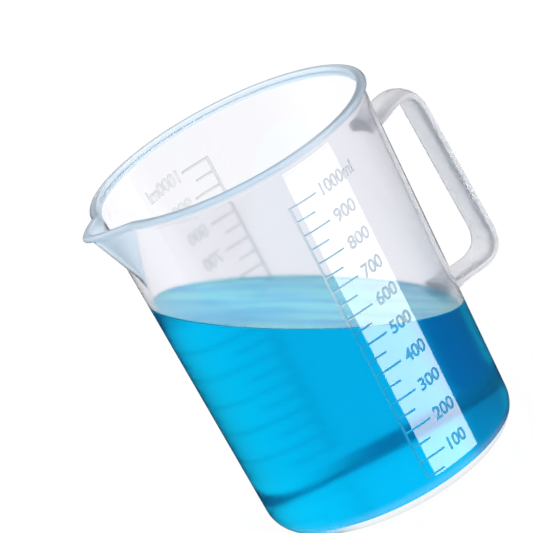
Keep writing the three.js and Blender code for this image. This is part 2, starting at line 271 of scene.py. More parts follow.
class Nodes:
    """Builds a node tree."""

    def __init__(self, tree):
        self.tree = tree
        tree.nodes.clear()

    def add(self, kind, settings=None, inputs=None, output=0):
        """Adds a node with its settings and its sockets' values or links, and gives one output."""
        node = self.tree.nodes.new(kind)
        for name, value in (settings or {}).items():
            setattr(node, name, value)
        for name, value in (inputs or {}).items():
            if isinstance(value, Value):
                self.tree.links.new(value.socket, node.inputs[name])
            else:
                node.inputs[name].default_value = value
        return Value(self, node.outputs[output]) if node.outputs else node

    def math(self, operation, first, second=0.0):
        """A Math node."""
        return self.add("ShaderNodeMath", {"operation": operation}, {0: first, 1: second})

    def ray(self, fact):
        """What is known about the ray that looks at a place."""
        return self.add("ShaderNodeLightPath", output=fact)

    def show(self, shader, **others):
        """Makes a shader the surface of a material."""
        self.add("ShaderNodeOutputMaterial", inputs={"Surface": shader, **others})


def material(name):
    """A new material and the builder of its nodes."""
    made = bpy.data.materials.new(name)
    made.use_nodes = True
    return made, Nodes(made.node_tree)


def opaque(rgb):
    """A colour with full alpha."""
    return (*rgb, 1.0)


def noise(nodes, scale, detail=2.0, stretch=(1.0, 1.0, 1.0)):
    """Noise from 0 to 1 on the object's own coordinates, with lengths in metres."""
    place = nodes.add("ShaderNodeTexCoord", output="Object")
    mapped = nodes.add("ShaderNodeMapping", inputs={"Vector": place, "Scale": stretch})
    return nodes.add("ShaderNodeTexNoise", inputs={"Vector": mapped, "Scale": scale, "Detail": detail})


def streaks(nodes, heading, long, wide):
    """Level streaks from 0 to 1 of a length and a width, at a heading from +X towards +Y."""
    place = nodes.add("ShaderNodeTexCoord", output="Object")
    mapped = nodes.add(
        "ShaderNodeMapping",
        {"vector_type": "TEXTURE"},
        {"Vector": place, "Rotation": (0, 0, heading), "Scale": (long, wide, 1.0)},
    )
    return nodes.add("ShaderNodeTexNoise", inputs={"Vector": mapped, "Scale": 1.0, "Detail": 1.0})


def mixed(nodes, factor, first, second):
    """One colour fading into another, each a plain colour or a socket."""
    first, second = (side if isinstance(side, Value) else opaque(side) for side in (first, second))
    sides = {MIX_FIRST: first, MIX_SECOND: second}
    return nodes.add("ShaderNodeMix", {"data_type": "RGBA"}, {"Factor": factor, **sides}, MIX_RESULT)


def soft_step(nodes, value, middle, half_width):
    """A soft step from 0 to 1 where a value passes its middle."""
    return nodes.add(
        "ShaderNodeMapRange",
        {"interpolation_type": "SMOOTHSTEP"},
        {"Value": value, "From Min": middle - half_width, "From Max": middle + half_width},
    )


def axes(nodes, vector):
    """The three parts of a vector."""
    first = nodes.add("ShaderNodeSeparateXYZ", inputs={0: vector})
    return [Value(nodes, part) for part in first.socket.node.outputs]


def coordinates(nodes):
    """X, Y and Z of a place on the piece, in metres."""
    return axes(nodes, nodes.add("ShaderNodeTexCoord", output="Object"))


def uneven(value, pattern, spread):
    """A value that a pattern moves up and down, over a share of the value."""
    return value * (1 + spread * (pattern - 0.5))


def plastic_shader(
    nodes, tints, roughness, clear, ior=PLASTIC_IOR, polish=None, polish_roughness=0.04, haze=None
):
    """Moulded clear plastic with flow marks and an uneven skin, polished or cloudy by masks."""
    flow = noise(nodes, FLOW_SCALE, detail=3.0, stretch=FLOW_STRETCH)
    waves = noise(nodes, WAVE_SCALE, detail=1.0)
    skin = nodes.add("ShaderNodeBump", inputs={"Strength": 0.5, "Distance": 0.1 * MM, "Height": waves})
    tinted = mixed(nodes, flow, *tints)
    gloss = uneven(roughness, flow, spread=0.6)
    if haze:
        mask, haze_tint, haze_roughness = haze
        hazy = mask(nodes)
        tinted = mixed(nodes, hazy, tinted, haze_tint)
        gloss = gloss + haze_roughness * hazy
    return nodes.add(
        "ShaderNodeBsdfPrincipled",
        inputs={
            "Base Color": tinted,
            "Roughness": gloss,
            "IOR": ior,
            "Transmission Weight": clear,
            "Specular Tint": opaque((0, 0, 0)),
            "Coat Weight": polish(nodes) if polish else 0.0,
            "Coat Roughness": polish_roughness,
            "Coat IOR": POLISH_IOR,
            "Normal": skin,
        },
    )


def plastic(name, *finish, **masks):
    """A material of moulded plastic."""
    made, nodes = material(name)
    nodes.show(plastic_shader(nodes, *finish, **masks))
    return made


def foot_plastic(name, looks):
    """The thick rounded foot, clear under the spout and cloudy towards the handle."""
    made, nodes = material(name)
    x, y, _ = coordinates(nodes)
    along = math.cos(looks.foot_heading) * x + math.sin(looks.foot_heading) * y
    clear = plastic_shader(nodes, (looks.plastic, looks.plastic_thin), *looks.wall_finish)
    cloudy = plastic_shader(nodes, (looks.foot, looks.foot_pale), *looks.foot_finish)
    haze = soft_step(nodes, along, looks.foot_edge, looks.foot_fade)
    nodes.show(nodes.add("ShaderNodeMixShader", inputs={"Fac": haze, 1: clear, 2: cloudy}))
    return made


def spout_haze(cup, nodes):
    """How cloudy the cup's plastic is: where it was drawn out into the spout it scatters light."""
    share = nodes.add("ShaderNodeAttribute", {"attribute_name": SPOUT_LAYER}, output="Fac")
    return soft_step(nodes, share, -cup.spout_blend, cup.spout_blend)


def wall_haze(cup, nodes):
    """How cloudy the wet plastic is: more so on the wall than on the floor."""
    fade = cup.inner_corner / 5
    return soft_step(nodes, coordinates(nodes)[2], cup.floor + fade, fade)


def outer_polish(cup, nodes):
    """Where the rim is polished: outside the middle of the wall's thickness."""
    x, y, z = coordinates(nodes)
    out_from_wall = nodes.math("SQRT", x * x + y * y) - (cup.base_radius + taper(cup) * z)
    return soft_step(nodes, out_from_wall, -cup.wall / 2, cup.wall / 4)


def scale_polish(cup, looks, nodes):
    """Where the wall is polished: outside and round the two scales, less towards spout and handle."""
    x, y, _ = coordinates(nodes)
    facing = y * y / (x * x + y * y)
    return outer_polish(cup, nodes) * soft_step(nodes, facing, looks.polish_edge, looks.polish_fade)


def plain_polish(weight, nodes):
    """The same polish all over, a little uneven."""
    return uneven(weight, noise(nodes, GRAIN_SCALE), spread=0.4)


def mark_finish(name, looks, shine):
    """Raised marks in the wall's plastic, etched in the mould so that they scatter light."""
    tints = (looks.marks, looks.marks_thin)
    polish = partial(plain_polish, shine)
    return plastic(name, tints, *looks.marks_finish, polish=polish, polish_roughness=0.2)


def liquid_finish(name, looks, ior, clear, tints):
    """Clear dyed water, which takes red light away over its depth."""
    made, nodes = material(name)
    swirl = streaks(nodes, looks.streak_heading, looks.streak_length, looks.streak_width)
    ripple = nodes.add("ShaderNodeBump", inputs={"Strength": 0.1, "Distance": 0.2 * MM, "Height": swirl})
    pale = soft_step(nodes, swirl, middle=0.5, half_width=0.2)
    shader = nodes.add(
        "ShaderNodeBsdfPrincipled",
        inputs={
            "Base Color": mixed(nodes, pale, *tints),
            "Roughness": 0.01 * swirl,
            "IOR": ior,
            "Transmission Weight": clear,
            "Normal": ripple,
        },
    )
    depth = nodes.add(
        "ShaderNodeVolumeAbsorption",
        inputs={"Color": opaque(looks.liquid), "Density": looks.liquid_strength},
    )
    nodes.show(shader, Volume=depth)
    return made


def glow(name, rgb, strength):
    """An evenly lit surface."""
    made, nodes = material(name)
    nodes.show(nodes.add("ShaderNodeEmission", inputs={"Color": opaque(rgb), "Strength": strength}))
    return made


def object_mode():
    """Leaves edit mode."""
    bpy.ops.object.mode_set(mode="OBJECT")


def edit_mode():
    """Turns to the active piece's mesh."""
    bpy.ops.object.mode_set(mode="EDIT")


def select_whole_mesh():
    """Selects all of the mesh that is being edited."""
    bpy.ops.mesh.select_all(action="SELECT")


def deselect():
    """Gives object mode with nothing selected."""
    if bpy.context.object and bpy.context.object.mode != "OBJECT":
        object_mode()
    bpy.ops.object.select_all(action="DESELECT")


def select_only(piece):
    """Selects one object and makes it the active one."""
    deselect()
    piece.select_set(True)
    bpy.context.view_layer.objects.active = piece


def named(piece, name):
    """Gives an object and its data a name."""
    piece.name = name
    piece.data.name = name
    return piece


def pick(piece, mode, test):
    """Selects the vertices, edges or faces of a piece in edit mode that pass a test."""
    bpy.ops.mesh.select_all(action="DESELECT")
    bpy.ops.mesh.select_mode(type=mode)
    object_mode()
    parts = {"VERT": piece.data.vertices, "EDGE": piece.data.edges, "FACE": piece.data.polygons}[mode]
    for part in parts:
        part.select = test(part)
    edit_mode()


def single_point(name, place):
    """A new mesh of one point, in edit mode and selected."""
    deselect()
    bpy.ops.mesh.primitive_plane_add(size=1.0, location=(0, 0, 0))
    piece = named(bpy.context.object, name)
    edit_mode()
    bpy.ops.mesh.select_mode(type="VERT")
    bpy.ops.mesh.merge(type="CENTER")
    bpy.ops.transform.translate(value=place)
    return piece


def extrude_along(points):
    """Extrudes what is selected from the first point of a line to each of the others in turn."""
    for start, end in zip(points, points[1:]):
        step = Vector(end) - Vector(start)
        bpy.ops.mesh.extrude_region_move(TRANSFORM_OT_translate={"value": step})


def merge_and_face_out():
    """Closes seams and poles, and turns all faces outwards."""
    select_whole_mesh()
    bpy.ops.mesh.remove_doubles(threshold=ONE_POINT)
    bpy.ops.mesh.normals_make_consistent(inside=False)


def held_flat(section, margin):
    """Adds points near both ends of every long straight stretch, so that it is shaded as flat."""
    points = [Vector(section[0])]
    room_for_insets = 4 * margin
    for start, end in zip(map(Vector, section), map(Vector, section[1:])):
        stretch = end - start
        if stretch.length > room_for_insets:
            inset = stretch.normalized() * margin
            points += [start + inset, end - inset]
        points.append(end)
    return points


def turned(name, section, segments):
    """A section of radius and height, spun round the Z axis into a closed piece."""
    points = [(radius, 0.0, z) for radius, z in held_flat(section, FLAT_MARGIN)]
    piece = single_point(name, points[0])
    extrude_along(points)
    select_whole_mesh()
    bpy.ops.mesh.spin(steps=segments, angle=math.tau, center=(0, 0, 0), axis=(0, 0, 1))
    merge_and_face_out()
    return piece


def arc(x, y, radius, start, end, steps):
    """Points along part of a circle, with angles in degrees."""
    angles = [math.radians(start + (end - start) * i / steps) for i in range(steps + 1)]
    return [(x + radius * math.cos(a), y + radius * math.sin(a)) for a in angles]


def taper(cup):
    """How much the wall's radius grows per metre of height."""
    return (cup.mouth_radius - cup.base_radius) / cup.height


def wall_radius(cup, z):
    """Outside radius of the wall at a height."""
    return cup.base_radius + taper(cup) * z


def inside_radius(cup, z):
    """Inside radius of the wall at a height."""
    return wall_radius(cup, z) - cup.wall * math.hypot(1, taper(cup))


def round_corner(cup, radius_at, z, radius):
    """The corner between a level face and the slanted wall outside it, from the face up."""
    middle = radius_at(cup, z + radius) - radius * math.hypot(1, taper(cup))
    end = -math.degrees(math.atan(taper(cup)))
    return arc(middle, z + radius, radius, -90, end, CORNER_STEPS)


def rim_foot(cup):
    """Height at which the wall runs into the rim's bead."""
    return cup.height - 2 * cup.bead_radius - cup.bead_offset


def cup_section(cup):
    """The cup's section, from the middle of the underside over the rim to the middle of the floor."""
    bead_z = cup.height - cup.bead_radius
    bead_middle = wall_radius(cup, bead_z) + cup.bead_offset
    lip_z = cup.height - cup.lip_round
    lip_middle = inside_radius(cup, lip_z) + cup.lip_round
    wall_top = rim_foot(cup)
    spout_foot = bead_z - cup.spout_depth * (1 + cup.spout_blend)
    rows = [spout_foot + (wall_top - spout_foot) * i / SPOUT_ROWS for i in range(SPOUT_ROWS + 1)]
    return [
        (0.0, 0.0),
        *round_corner(cup, wall_radius, 0.0, cup.outer_corner),
        *[(wall_radius(cup, z), z) for z in rows],
        *arc(bead_middle, bead_z, cup.bead_radius, -90, 90, BEAD_STEPS),
        *arc(lip_middle, lip_z, cup.lip_round, 90, 180, LIP_STEPS),
        *[(inside_radius(cup, z), z) for z in reversed(rows)],
        *reversed(round_corner(cup, inside_radius, cup.floor, cup.inner_corner)),
        (0.0, cup.floor),
    ]


def spout_share(cup, aside, z):
    """How far in from the spout's border a place lies: 0 on the border and 1 at the tip."""
    off_ridge = math.hypot(aside, cup.spout_ridge) - cup.spout_ridge
    drop = (cup.height - cup.bead_radius - z) / cup.spout_depth
    return 1 - off_ridge / cup.spout_half_angle - drop


def spout_push(cup, share):
    """How far the spout draws the wall out."""
    blend = cup.spout_blend
    if share <= -blend:
        return 0.0
    if share >= blend:
        return cup.spout_reach * share
    return cup.spout_reach * (share + blend) ** 2 / (4 * blend)


def draw_out_spout(piece, cup):
    """Pulls the wall out into the spout along -X, and notes on each point how far in it lies."""
    layer = piece.data.attributes.new(SPOUT_LAYER, "FLOAT", "POINT")
    for vertex, note in zip(piece.data.vertices, layer.data):
        x, y, z = vertex.co
        radius = math.hypot(x, y)
        share = spout_share(cup, math.atan2(y, -x), z)
        push = spout_push(cup, share)
        if push > 0:
            vertex.co = (x * (1 + push / radius), y * (1 + push / radius), z)
        note.value = max(share, -1.0)


def finish_piece(piece, finish, slot, *nodes):
    """Gives a finished piece its material and ties it to the frame."""
    piece.data.materials.clear()
    piece.data.materials.append(finish)
    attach(piece, "root")
    if nodes:
        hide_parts(*nodes)


def faces_inside(face):
    """Whether a face of the cup looks in or up, as the inside of its wall and floor does."""
    outwards = Vector((face.center.x, face.center.y, 0)).normalized()
    return face.normal.z > face.normal.dot(outwards)


class BEAKER_OT_cup(bpy.types.Operator):
    """Model the clear cup with its beaded rim and its spout"""

    bl_idname = "beaker.cup"
    bl_label = "Cup"

    def execute(self, context):
        cup, looks = groups_of(context, "cup", "looks")
        piece = turned("clear_cup", cup_section(cup), cup.segments)
        object_mode()
        draw_out_spout(piece, cup)
        bpy.ops.object.shade_smooth()
        finish_piece(piece, self.clear_finish(cup, looks), "clear_plastic", "vessel")
        piece.data.materials.append(self.rim_finish(cup, looks))
        piece.data.materials.append(foot_plastic("foot_plastic", looks))
        for face in piece.data.polygons:
            face.material_index = self.finish_of(cup, face)
        return {"FINISHED"}

    def clear_finish(self, cup, looks):
        """The wall, polished round its scales and cloudy where the spout is drawn out."""
        tints = (looks.plastic, looks.plastic_thin)
        polish = partial(scale_polish, cup, looks)
        haze = (partial(spout_haze, cup), looks.spout, looks.spout_haze)
        return plastic("clear_plastic", tints, *looks.wall_finish, polish=polish, haze=haze)

    def rim_finish(self, cup, looks):
        """The thick rim, polished outside."""
        tints = (looks.rim, looks.rim_pale)
        return plastic("rim_plastic", tints, *looks.rim_finish, polish=partial(outer_polish, cup))

    def finish_of(self, cup, face):
        """Which finish a face takes. The foot's is for its rounded edge, and not for the underside."""
        z = face.center.z
        if z > cup.height - cup.bead_radius:
            return RIM
        if faces_inside(face):
            return RIM if z > rim_foot(cup) else CLEAR
        on_foot = z < cup.foot_height and face.normal.z > -LEVEL
        return FOOT if on_foot else CLEAR


def rounded_line(points, bend, steps=10):
    """A line through corner points, with each corner rounded off by a curve."""
    line = [points[0]]
    for before, corner, after in zip(points, points[1:], points[2:]):
        start = corner.lerp(before, bend / (before - corner).length)
        end = corner.lerp(after, bend / (after - corner).length)
        for i in range(steps + 1):
            t = i / steps
            line.append(start.lerp(corner, t).lerp(corner.lerp(end, t), t))
    return line + [points[-1]]


def handle_line(cup, strap):
    """The middle line of the strap, from inside the wall at the top to inside the wall at the bottom."""
    top = wall_radius(cup, strap.top)
    bottom = wall_radius(cup, strap.bottom)
    start = strap.root_run
    climb = strap.rise / strap.reach_top
    corners = [
        Vector((top - start, 0, strap.top - start * climb)),
        Vector((top, 0, strap.top)),
        Vector((top + strap.flare, 0, strap.top + strap.flare * climb)),
        Vector((top + strap.reach_top, 0, strap.top + strap.rise)),
        Vector((bottom + strap.reach_bottom, 0, strap.bottom)),
        Vector((bottom + strap.flare, 0, strap.bottom)),
        Vector((bottom, 0, strap.bottom)),
        Vector((bottom - start, 0, strap.bottom)),
    ]
    bent = rounded_line(corners[2:6], strap.bend)
    return corners[:2] + bent + corners[6:]


def apply_modifier(piece, kind, settings):
    """Adds a modifier with its settings and applies it."""
    modifier = piece.modifiers.new(kind.lower(), kind)
    for name, value in settings.items():
        setattr(modifier, name, value)
    bpy.ops.object.modifier_apply(modifier=modifier.name)


class BEAKER_OT_handle(bpy.types.Operator):
    """Model the strap handle, crowned outside and swelling into the wall at its roots"""

    bl_idname = "beaker.handle"
    bl_label = "Handle"

    def execute(self, context):
        cup, strap, looks = groups_of(context, "cup", "handle", "looks")
        half = strap.width / 2
        columns = 8
        line = handle_line(cup, strap)
        piece = single_point("strap_handle", line[0] - Vector((0, half, 0)))
        extrude_along([(0, strap.width * i / columns, 0) for i in range(columns + 1)])
        select_whole_mesh()
        extrude_along(line)
        merge_and_face_out()
        object_mode()
        thickening = {"thickness": strap.edge, "offset": 0.0, "use_even_offset": True}
        apply_modifier(piece, "SOLIDIFY", thickening)
        self.crown(piece, strap, columns, line)
        self.swell_roots(piece, cup, strap)
        object_mode()
        rounding = {"width": strap.edge_round, "segments": 3, "angle_limit": math.radians(50)}
        apply_modifier(piece, "BEVEL", {**rounding, "limit_method": "ANGLE"})
        self.fit_to_wall(piece, cup, strap)
        bpy.ops.object.shade_smooth_by_angle(angle=math.radians(35))
        tints = (looks.plastic, looks.plastic_thin)
        finish = plastic("handle_plastic", tints, *looks.handle_finish)
        finish_piece(piece, finish, "handle_plastic", "handle")
        return {"FINISHED"}

    def crown(self, piece, strap, columns, line):
        """Swells the middle of the outer face."""
        middle = (line[1] + line[-2]) / 2
        edit_mode()
        for column in range(columns // 2):
            y = strap.width * column / columns
            lift = strap.crown * (1 - (2 * y / strap.width) ** 2)

            def outside(vertex):
                away = vertex.co - middle
                return abs(abs(vertex.co.y) - y) < SAME_PLACE and vertex.normal.dot(away) > 0

            pick(piece, "VERT", outside)
            bpy.ops.transform.shrink_fatten(value=lift)

    def swell_roots(self, piece, cup, strap):
        """Thickens the strap where it meets the wall."""
        for z in (strap.top, strap.bottom):
            root = wall_radius(cup, z)
            out_to = root + 10 * SAME_PLACE
            pick(piece, "VERT", lambda v: v.co.x < out_to and abs(v.co.z - z) < strap.bend)
            bpy.ops.transform.resize(value=(1, 1, strap.swell), center_override=(root, 0, z))

    def fit_to_wall(self, piece, cup, strap):
        """Cuts the roots off just inside the wall."""
        low, high = -strap.width, cup.height + strap.width
        deselect()
        bpy.ops.mesh.primitive_cone_add(
            vertices=cup.segments,
            radius1=wall_radius(cup, low) - strap.root_sink,
            radius2=wall_radius(cup, high) - strap.root_sink,
            depth=high - low,
            location=(0, 0, (high + low) / 2),
        )
        plug = bpy.context.object
        select_only(piece)
        apply_modifier(piece, "BOOLEAN", {"operation": "DIFFERENCE", "solver": "EXACT", "object": plug})
        bpy.data.objects.remove(plug)


def room_below(cup, z):
    """Room inside the cup up to a height, in cubic metres."""
    low = inside_radius(cup, cup.floor)
    high = inside_radius(cup, z)
    cone = math.pi * (z - cup.floor) * (low**2 + low * high + high**2) / 3
    corner_loss = (1 - math.pi / 4) * cup.inner_corner**2 * math.tau * low
    return cone - corner_loss


def level_of(cup, scale, millilitres, rounds=6):
    """Height of a marked volume, drawn nearer in each round."""
    wanted = millilitres / scale.capacity * room_below(cup, cup.height - scale.top_mark_drop)
    z = cup.floor
    for _ in range(rounds):
        z += (wanted - room_below(cup, z)) / (math.pi * inside_radius(cup, z) ** 2)
    return z


def scale_radius(cup):
    """Radius at which lengths along the wall are true."""
    return wall_radius(cup, cup.height / 2)


def bend_onto_wall(piece, cup, scale, turn):
    """Lays a flat piece, with X along the wall, Y up and Z outwards, round the wall."""
    true_radius = scale_radius(cup)
    for vertex in piece.data.vertices:
        along, up, out = vertex.co
        radius = wall_radius(cup, up) - scale.sink + out
        bearing = along / true_radius + turn
        vertex.co = (radius * math.sin(bearing), -radius * math.cos(bearing), up)
    bpy.ops.object.shade_smooth_by_angle(angle=math.radians(40))


class BEAKER_OT_scales(bpy.types.Operator):
    """Model the two raised scales, each an upright line with its ticks"""

    bl_idname = "beaker.scales"
    bl_label = "Scales"

    def execute(self, context):
        cup, scale, looks = groups_of(context, "cup", "scale", "looks")
        finish = mark_finish("scale_plastic", looks, looks.scale_shine)
        for side, turn in SIDES.items():
            piece = self.flat_comb(f"{side}_scale_marks", cup, scale)
            bend_onto_wall(piece, cup, scale, turn)
            finish_piece(piece, finish, "raised_marks", f"{side}_scale")
        return {"FINISHED"}

    def flat_comb(self, name, cup, scale):
        """The scale laid flat: X along the wall, Y up, Z outwards."""
        half_tick = scale.tick_width / 2
        volumes = range(scale.minor_step, scale.capacity + 1, scale.minor_step)
        levels = {volume: level_of(cup, scale, volume) for volume in volumes}
        edges = sorted(level + half for level in levels.values() for half in (-half_tick, half_tick))
        left = scale.line_offset - scale.line_width / 2
        right = scale.line_offset + scale.line_width / 2
        piece = single_point(name, (left, edges[0], 0))
        extrude_along([(left, edge, 0) for edge in edges])
        select_whole_mesh()
        extrude_along([(left, 0, 0), (right, 0, 0)])
        for volume, level in levels.items():
            reach = scale.long_tick if volume % scale.major_step == 0 else scale.short_tick
            end = scale.line_offset + reach
            steps = math.ceil((end - right) / scale.bend_step)

            def root(edge):
                ends = [piece.data.vertices[i].co for i in edge.vertices]
                at_line = all(abs(co.x - right) < SAME_PLACE for co in ends)
                return at_line and all(abs(abs(co.y - level) - half_tick) < SAME_PLACE for co in ends)

            pick(piece, "EDGE", root)
            extrude_along([(right + (end - right) * i / steps, 0, 0) for i in range(steps + 1)])
        select_whole_mesh()
        extrude_along([(0, 0, 0), (0, 0, scale.slope)])
        merge_and_face_out()
        pick(piece, "EDGE", lambda edge: self.on_upper_border(piece, edge, scale.slope))
        bpy.ops.mesh.bevel(offset=scale.slope, segments=4, profile=0.35, clamp_overlap=True)
        merge_and_face_out()
        bpy.ops.transform.resize(value=(1, 1, scale.relief / scale.slope), center_override=(0, 0, 0))
        object_mode()
        return piece

    def on_upper_border(self, piece, edge, top):
        """Whether an edge lies between a mark's top and its side."""
        ends = [piece.data.vertices[i].co for i in edge.vertices]
        if any(abs(co.z - top) > SAME_PLACE for co in ends):
            return False
        along = (ends[1] - ends[0]).normalized()
        slopes = [piece.data.vertices[i].normal for i in edge.vertices]
        sideways = Vector((-along.y, along.x, 0))
        least_lean = 0.2
        return all(abs(slope.dot(sideways)) > least_lean for slope in slopes)


class BEAKER_OT_numerals(bpy.types.Operator):
    """Model the raised numbers beside the long ticks of both scales"""

    bl_idname = "beaker.numerals"
    bl_label = "Numerals"

    def execute(self, context):
        cup, scale, looks = groups_of(context, "cup", "scale", "looks")
        finish = mark_finish("numeral_plastic", looks, looks.numeral_shine)
        for volume in range(scale.major_step, scale.capacity + 1, scale.major_step):
            for side, turn in SIDES.items():
                node = f"{side}_numeral_{volume}"
                unit = "ml" if volume == scale.capacity else ""
                piece = self.outline(f"{node}_marks", f"{volume}{unit}")
                self.fit_to_node(piece, cup, f"front_numeral_{volume}")
                piece = self.raise_strokes(piece, scale)
                bend_onto_wall(piece, cup, scale, turn)
                finish_piece(piece, finish, "raised_marks", node)
        return {"FINISHED"}

    def outline(self, name, text):
        """The outlines of a number, as a flat curve: X along the wall, Y up."""
        deselect()
        bpy.ops.object.text_add(location=(0, 0, 0))
        bpy.context.object.data.body = text
        bpy.ops.object.convert(target="CURVE")
        return named(bpy.context.object, name)

    def fit_to_node(self, piece, cup, node):
        """Spreads a number's outlines over the width and height of its solid."""
        low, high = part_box(node)
        radius = wall_radius(cup, (low.z + high.z) / 2)
        left = math.asin(low.x / radius) * scale_radius(cup)
        right = math.asin(high.x / radius) * scale_radius(cup)
        corners = [Vector(corner) for corner in piece.bound_box]
        near = Vector(min(c[i] for c in corners) for i in range(3))
        far = Vector(max(c[i] for c in corners) for i in range(3))
        wide = (right - left) / (far.x - near.x)
        tall = (high.z - low.z) / (far.y - near.y)
        move = Vector((left - near.x * wide, low.z - near.y * tall, 0))
        piece.data.transform(Matrix.Translation(move) @ Matrix.Diagonal((wide, tall, 1, 1)))

    def raise_strokes(self, piece, scale):
        """Turns outlines into strokes with a flat top, a slope all round and a flat foot at height 0."""
        name = piece.name
        piece.data.dimensions = "2D"
        piece.data.fill_mode = "BOTH"
        piece.data.offset = scale.numeral_stroke / 2 - scale.slope
        piece.data.bevel_depth = scale.slope
        piece.data.bevel_resolution = 2
        bpy.ops.object.convert(target="MESH")
        piece = named(bpy.context.object, name)
        edit_mode()
        pick(piece, "VERT", lambda vertex: vertex.co.z < 0)
        bpy.ops.transform.resize(value=(1, 1, 0), center_override=(0, 0, 0))
        select_whole_mesh()
        bpy.ops.transform.resize(value=(1, 1, scale.relief / scale.slope), center_override=(0, 0, 0))
        merge_and_face_out()
        object_mode()
        return piece


class BEAKER_OT_liquid(bpy.types.Operator):
    """Model the blue liquid, whose surface slopes and creeps up the wall a little"""

    bl_idname = "beaker.liquid"
    bl_label = "Liquid"

    def execute(self, context):
        cup, liquid, looks = groups_of(context, "cup", "liquid", "looks")
        piece = turned("blue_liquid", self.section(cup, liquid), cup.segments)
        uphill = Vector((-math.cos(liquid.turn), math.sin(liquid.turn), 0))
        upright = (Vector((0, 0, 1)) - uphill * math.tan(liquid.tilt)).normalized()
        select_whole_mesh()
        bpy.ops.mesh.bisect(
            plane_co=(0, 0, liquid.level), plane_no=upright, use_fill=True, clear_outer=True
        )
        self.creep_up_wall(piece, liquid)
        merge_and_face_out()
        object_mode()
        bpy.ops.object.shade_smooth_by_angle(angle=math.radians(50))
        tints = (looks.skin, looks.skin_pale)
        clear = liquid_finish("liquid_against_wall", looks, SKIN_IOR, 1.0, tints)
        tints = (looks.surface, looks.surface_pale)
        cloudy = liquid_finish("liquid_surface", looks, SURFACE_IOR, looks.surface_clear, tints)
        finish_piece(piece, clear, "blue_liquid")
        piece.data.materials.append(cloudy)
        for face in piece.data.polygons:
            face.material_index = SURFACE if face.normal.dot(upright) > SURFACE_FACING else SKIN
        self.wet_wall(bpy.data.objects["clear_cup"], cup, liquid, looks, upright)
        return {"FINISHED"}

    def wet_wall(self, wall, cup, liquid, looks, upright):
        """Gives the inside of the cup below the surface a finish of plastic against water."""
        level = Vector((0, 0, liquid.level))
        select_only(wall)
        edit_mode()
        pick(wall, "FACE", faces_inside)
        bpy.ops.mesh.bisect(plane_co=level, plane_no=upright)
        object_mode()
        tints = (looks.plastic, looks.plastic_thin)
        haze = (partial(wall_haze, cup), looks.plastic_thin, looks.wet_haze)
        wet = plastic("wet_plastic", tints, *looks.wet_finish, ior=PLASTIC_IOR / WATER_IOR, haze=haze)
        wall.data.materials.append(wet)
        for face in wall.data.polygons:
            below = (face.center - level).dot(upright) < 0
            if below and faces_inside(face):
                face.material_index = len(wall.data.materials) - 1

    def section(self, cup, liquid):
        """The space inside the cup, grown into its wall and floor."""
        corner = round_corner(cup, inside_radius, cup.floor - liquid.lap, cup.inner_corner)
        top = cup.height - cup.spout_depth - liquid.headroom
        wall = [(inside_radius(cup, top) + liquid.lap, top), (0.0, top)]
        return [(0.0, cup.floor - liquid.lap)] + [(r + liquid.lap, z) for r, z in corner] + wall

    def creep_up_wall(self, piece, liquid):
        """Bends the rim of the surface up along the wall."""
        for width, share in CREEP_RINGS:
            bpy.ops.mesh.select_mode(type="FACE")
            object_mode()
            surface = max(piece.data.polygons, key=lambda face: len(face.vertices))
            for face in piece.data.polygons:
                face.select = face.index == surface.index
            edit_mode()
            bpy.ops.mesh.inset(thickness=width, depth=0.0)
            bpy.ops.transform.translate(value=(0, 0, -liquid.meniscus * share))


class BeakerStage(bpy.types.PropertyGroup):
    """Camera and lights."""

    eye: spot("Eye", "Place of the camera", (-0.46818, -1.188544, 0.519921))
    heading: angle("Heading", "Where the camera looks, from +Y towards +X", 21.144)
    pitch: angle("Pitch", "How far the camera looks down", 18.394)
    roll: angle("Roll", "How far the camera leans over", 27.85)
    lens: number("Lens", "Focal length in millimetres", 244.85)
    strip_left: angle("Strip left", "Left edge of the strip light's reflection, round the wall", -8.5)
    strip_right: angle("Strip right", "Right edge of the strip light's reflection", 15)
    strip_low: length("Strip low", "Lower end of the strip light's reflection", -10 * MM)
    strip_high: length("Strip high", "Upper end of the strip light's reflection", 138 * MM)
    strip_distance: length("Strip distance", "Wall to the strip light", 5.0)
    strip_power: number("Strip power", "Brightness of the strip light", 5)
    through_low: number("Through low", "Brightness behind the plastic, level and below", 1.1)
    through_high: number("Through high", "Brightness behind the plastic, higher up", 1.38)
    bright_from: number("Bright from", "Where it turns brighter upwards, as a sine of elevation", 0.15)
    aside: angle("Aside", "Where it turns brighter to one side, from +Y towards +X", 42)
    aside_edge: angle("Aside edge", "Half width of that soft edge", 14)
    aside_share: number("Aside share", "How much brighter it is there, against higher up", 0.25)
    dim_left: angle("Dim wall left", "Left edge of the dim wall, from +Y towards +X", -30)
    dim_right: angle("Dim wall right", "Right edge of the dim wall", 1.5)
    dim_edge: angle("Dim wall edge", "Half width of the dim wall's soft edges", 4)
    dim_bottom: number("Dim wall bottom", "Foot of the dim wall, as the sine of its elevation", -0.85)
    dim_foot: number("Dim wall foot", "Half of the height over which its foot fades, as a sine", 0.1)
    dim_top: number("Dim wall top", "Where the dim wall fades upwards, as a sine too", 0.53)
    dim_fade: number("Dim wall fade", "Half of the height over which it fades, as a sine", 0.4)
    dim_colour: colour("Dim wall colour", "Colour of the dim wall", (0.1, 0.29, 0.52))
    mirror_level: colour("Mirror level", "What level mirror rays see", (0.01, 0.01, 0.012))
    mirror_ends: colour("Mirror ends", "What mirror rays up and down see", (0.7, 0.7, 0.72))
    mirror_top: number("Mirror top", "Where mirror rays start to look up, as a sine", 0.5)
    mirror_top_fade: number("Mirror top fade", "Half of the height of that soft edge", 0.4)
    mirror_foot: number("Mirror foot", "Where mirror rays start to look down, as a sine", 0.65)
    mirror_foot_fade: number("Mirror foot fade", "Half of the height of that soft edge", 0.2)
    front_edge: number("Front edge", "Middle and half width of the front half's soft edge", 0.2)


